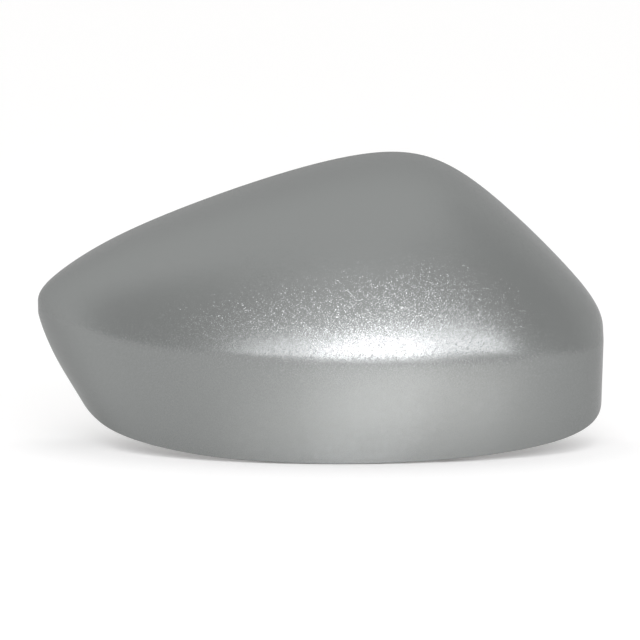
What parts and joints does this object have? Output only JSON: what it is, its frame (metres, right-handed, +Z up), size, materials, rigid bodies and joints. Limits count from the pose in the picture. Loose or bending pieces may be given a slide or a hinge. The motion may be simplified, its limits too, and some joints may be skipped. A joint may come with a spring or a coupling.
{
  "type": "wing mirror cover",
  "caption": "Moulded door mirror cover: a domed, creased shell open at the back and below, with snap hooks and locating pegs inside.",
  "frame": {"origin": "centre of the main locating peg at its shoulder, where the cover seats on the mirror housing", "axes": "+X along the cover from the pointed inner tip to the tall outer end, +Y back towards the mirror housing along the pegs, +Z up"},
  "size_m": [0.222, 0.0837, 0.1128],
  "materials": {
    "silver_paint": "satin silver metallic paint over moulded plastic"
  },
  "bodies": {
    "root": {"mirror_cover": "silver_paint"}
  },
  "joints": []
}
